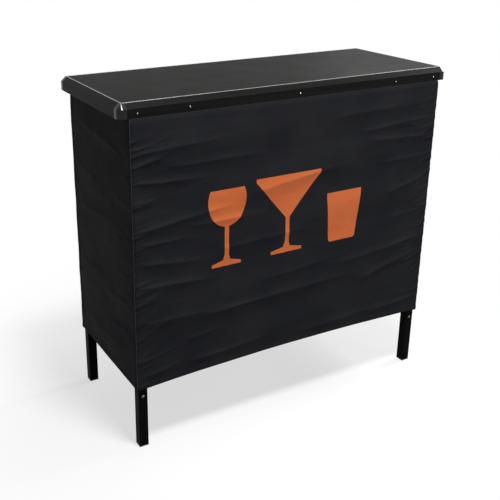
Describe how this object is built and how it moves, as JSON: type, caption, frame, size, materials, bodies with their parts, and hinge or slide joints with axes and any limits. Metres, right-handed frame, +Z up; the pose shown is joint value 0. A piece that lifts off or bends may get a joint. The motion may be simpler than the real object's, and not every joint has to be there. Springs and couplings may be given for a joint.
{
  "type": "portable bar",
  "caption": "Folding portable bar: long railed top on square legs in two end frames that fold inward on braced hinges, with a pull-off black fabric skirt on the front and both ends.",
  "frame": {"origin": "on the floor under the middle of the top", "axes": "+X along the bar, -Y towards the guests' side with the skirt's front, +Z up"},
  "size_m": [0.965, 0.3873, 0.9],
  "materials": {
    "laminate_board": "satin dark laminate",
    "bright_bead": "bright aluminium",
    "black_rail": "satin black",
    "corner_plastic": "gloss",
    "black_tube": "semi-gloss black",
    "foot_plastic": "matte",
    "zinc_steel": "zinc plated",
    "fastener_steel": "dull nickel",
    "skirt_fabric": "satin polyester"
  },
  "bodies": {
    "top": {"top_panel": "laminate_board", "edge_bead": "bright_bead", "front_rail": "black_rail", "back_rail": "black_rail", "left_rail": "black_rail", "right_rail": "black_rail", "front_left_corner": "corner_plastic", "front_right_corner": "corner_plastic", "back_left_corner": "corner_plastic", "back_right_corner": "corner_plastic", "left_cross_member": "zinc_steel", "middle_cross_member": "zinc_steel", "right_cross_member": "zinc_steel", "front_rail_rivets": "fastener_steel", "back_rail_rivets": "fastener_steel", "left_front_hinge_bracket": "zinc_steel", "left_back_hinge_bracket": "zinc_steel", "left_front_stay_bracket": "zinc_steel", "left_back_stay_bracket": "zinc_steel", "left_hinge_pins": "fastener_steel", "left_top_stay_pins": "fastener_steel", "right_front_hinge_bracket": "zinc_steel", "right_back_hinge_bracket": "zinc_steel", "right_front_stay_bracket": "zinc_steel", "right_back_stay_bracket": "zinc_steel", "right_hinge_pins": "fastener_steel", "right_top_stay_pins": "fastener_steel"},
    "left_frame": {"left_front_leg": "black_tube", "left_back_leg": "black_tube", "left_upper_crossbar": "black_tube", "left_lower_crossbar": "black_tube", "left_front_foot": "foot_plastic", "left_back_foot": "foot_plastic", "left_leg_stud": "fastener_steel", "left_leg_stay_pins": "fastener_steel"},
    "left_lower_stays": {"left_front_lower_stay": "zinc_steel", "left_back_lower_stay": "zinc_steel"},
    "left_upper_stays": {"left_front_upper_stay": "zinc_steel", "left_back_upper_stay": "zinc_steel", "left_knee_rivets": "fastener_steel"},
    "right_frame": {"right_front_leg": "black_tube", "right_back_leg": "black_tube", "right_upper_crossbar": "black_tube", "right_lower_crossbar": "black_tube", "right_front_foot": "foot_plastic", "right_back_foot": "foot_plastic", "right_leg_stud": "fastener_steel", "right_leg_stay_pins": "fastener_steel"},
    "right_lower_stays": {"right_front_lower_stay": "zinc_steel", "right_back_lower_stay": "zinc_steel"},
    "right_upper_stays": {"right_front_upper_stay": "zinc_steel", "right_back_upper_stay": "zinc_steel", "right_knee_rivets": "fastener_steel"},
    "skirt": {"skirt_front_panel": "skirt_fabric", "skirt_left_panel": "skirt_fabric", "skirt_right_panel": "skirt_fabric", "skirt_hook_tape": "skirt_fabric"}
  },
  "joints": [
    {"name": "left_fold", "type": "hinge", "parent": "top", "child": "left_frame", "pos_m": [-0.44, 0, 0.845], "axis": [0, -1, 0], "range_deg": [0, 90]},
    {"name": "left_lower_stay_fold", "type": "hinge", "parent": "left_frame", "child": "left_lower_stays", "pos_m": [-0.44, 0, 0.71], "axis": [0, -1, 0], "range_deg": [0, 45]},
    {"name": "left_upper_stay_fold", "type": "hinge", "parent": "top", "child": "left_upper_stays", "pos_m": [-0.305, 0, 0.845], "axis": [0, 1, 0], "range_deg": [0, 45]},
    {"name": "right_fold", "type": "hinge", "parent": "top", "child": "right_frame", "pos_m": [0.44, 0, 0.817], "axis": [0, 1, 0], "range_deg": [0, 90]},
    {"name": "right_lower_stay_fold", "type": "hinge", "parent": "right_frame", "child": "right_lower_stays", "pos_m": [0.44, 0, 0.682], "axis": [0, 1, 0], "range_deg": [0, 45]},
    {"name": "right_upper_stay_fold", "type": "hinge", "parent": "top", "child": "right_upper_stays", "pos_m": [0.305, 0, 0.817], "axis": [0, -1, 0], "range_deg": [0, 45]},
    {"name": "skirt_pull_off", "type": "slide", "parent": "top", "child": "skirt", "axis": [0, -1, 0], "range_m": [0, 0.45]}
  ],
  "couplings": [
    {"joint": "left_lower_stay_fold", "follows": "left_fold", "ratio": 0.5},
    {"joint": "left_upper_stay_fold", "follows": "left_fold", "ratio": 0.5},
    {"joint": "right_lower_stay_fold", "follows": "right_fold", "ratio": 0.5},
    {"joint": "right_upper_stay_fold", "follows": "right_fold", "ratio": 0.5}
  ]
}
